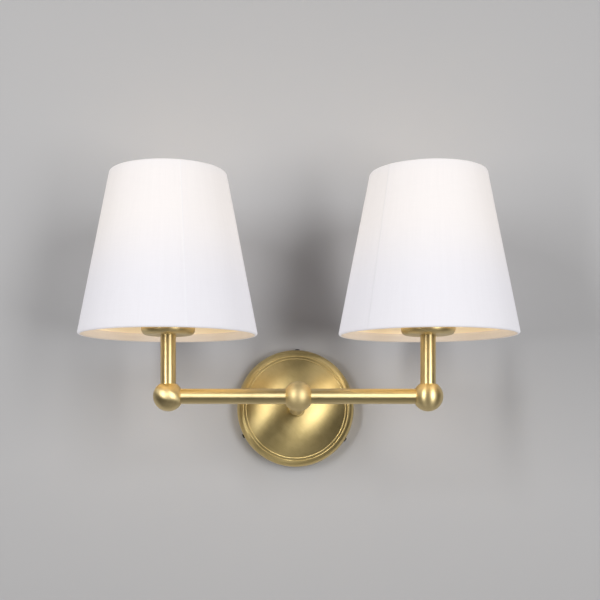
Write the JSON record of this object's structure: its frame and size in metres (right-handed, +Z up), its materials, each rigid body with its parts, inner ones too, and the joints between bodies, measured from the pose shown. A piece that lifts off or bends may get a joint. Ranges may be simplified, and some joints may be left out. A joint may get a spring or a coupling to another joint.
{
  "type": "double arm wall light",
  "caption": "Wall light with a round domed backplate, a level bar on a short arm, and an upright with a tapered fabric shade at each end.",
  "frame": {"origin": "middle of the bracket's two fixing slots, in the plane of the wall", "axes": "+Y into the wall, -Y to the room, +X to the right seen from the room, +Z up along the uprights"},
  "size_m": [0.3628, 0.1789, 0.247],
  "materials": {
    "satin_brass": "brushed, satin lacquer",
    "bright_brass": "turned, uncoated",
    "zinc_steel": "zinc plated",
    "black_steel": "black oxide",
    "nickel_plate": "nickel plated",
    "holder_plastic": "moulded, fine matt",
    "insert_ceramic": "unglazed",
    "bulb_plastic": "moulded, half gloss",
    "opal_diffuser": "opal polycarbonate",
    "white_wire": "white powder coat on steel wire",
    "shade_liner": "translucent styrene film",
    "shade_fabric": "white slub weave",
    "lead_sheath": "white sheathed twin lead",
    "block_nylon": "natural nylon"
  },
  "bodies": {
    "bracket": {"wall_bracket": "zinc_steel", "earth_screw": "bright_brass", "earth_washer": "zinc_steel"},
    "fitting": {"backplate": "satin_brass", "grub_screws": "black_steel", "arm_nipple": "zinc_steel", "arm_washer": "zinc_steel", "arm_locknut": "bright_brass", "arm_tube": "satin_brass", "centre_ball": "satin_brass", "joint_nipples": "zinc_steel", "terminal_block": "block_nylon", "terminal_inserts": "bright_brass", "terminal_screws": "zinc_steel", "bar_left": "satin_brass", "end_ball_left": "satin_brass", "lead_left": "lead_sheath", "upright_left": "satin_brass", "cup_left": "satin_brass", "cup_nipple_left": "zinc_steel", "holder_cap_left": "holder_plastic", "holder_skirt_left": "holder_plastic", "contact_insert_left": "insert_ceramic", "screw_shell_left": "nickel_plate", "centre_contact_left": "bright_brass", "lower_ring_left": "holder_plastic", "bar_right": "satin_brass", "end_ball_right": "satin_brass", "lead_right": "lead_sheath", "upright_right": "satin_brass", "cup_right": "satin_brass", "cup_nipple_right": "zinc_steel", "holder_cap_right": "holder_plastic", "holder_skirt_right": "holder_plastic", "contact_insert_right": "insert_ceramic", "screw_shell_right": "nickel_plate", "centre_contact_right": "bright_brass", "lower_ring_right": "holder_plastic"},
    "shade_ring_left": {"upper_ring_left": "holder_plastic"},
    "shade_left": {"fitter_ring_left": "white_wire", "spider_arms_left": "white_wire", "top_wire_left": "white_wire", "hem_wire_left": "white_wire", "shade_lining_left": "shade_liner", "shade_cover_left": "shade_fabric"},
    "bulb_left": {"bulb_cap_left": "nickel_plate", "bulb_base_left": "bulb_plastic", "bulb_dome_left": "opal_diffuser"},
    "shade_ring_right": {"upper_ring_right": "holder_plastic"},
    "shade_right": {"fitter_ring_right": "white_wire", "spider_arms_right": "white_wire", "top_wire_right": "white_wire", "hem_wire_right": "white_wire", "shade_lining_right": "shade_liner", "shade_cover_right": "shade_fabric"},
    "bulb_right": {"bulb_cap_right": "nickel_plate", "bulb_base_right": "bulb_plastic", "bulb_dome_right": "opal_diffuser"}
  },
  "joints": [
    {"name": "fitting_off_bracket", "type": "slide", "parent": "bracket", "child": "fitting", "axis": [0, -1, 0], "range_m": [0, 0.03]},
    {"name": "shade_lift_left", "type": "slide", "parent": "fitting", "child": "shade_ring_left", "axis": [0, 0, 1], "range_m": [0, 0.13]},
    {"name": "shade_turn_left", "type": "hinge", "parent": "shade_ring_left", "child": "shade_left", "pos_m": [-0.1075, -0.105, 0.0595], "axis": [0, 0, 1], "continuous": true},
    {"name": "bulb_out_left", "type": "slide", "parent": "fitting", "child": "bulb_left", "axis": [0, 0, 1], "range_m": [0, 0.11]},
    {"name": "shade_lift_right", "type": "slide", "parent": "fitting", "child": "shade_ring_right", "axis": [0, 0, 1], "range_m": [0, 0.13]},
    {"name": "shade_turn_right", "type": "hinge", "parent": "shade_ring_right", "child": "shade_right", "pos_m": [0.1075, -0.105, 0.0595], "axis": [0, 0, 1], "continuous": true},
    {"name": "bulb_out_right", "type": "slide", "parent": "fitting", "child": "bulb_right", "axis": [0, 0, 1], "range_m": [0, 0.11]}
  ]
}
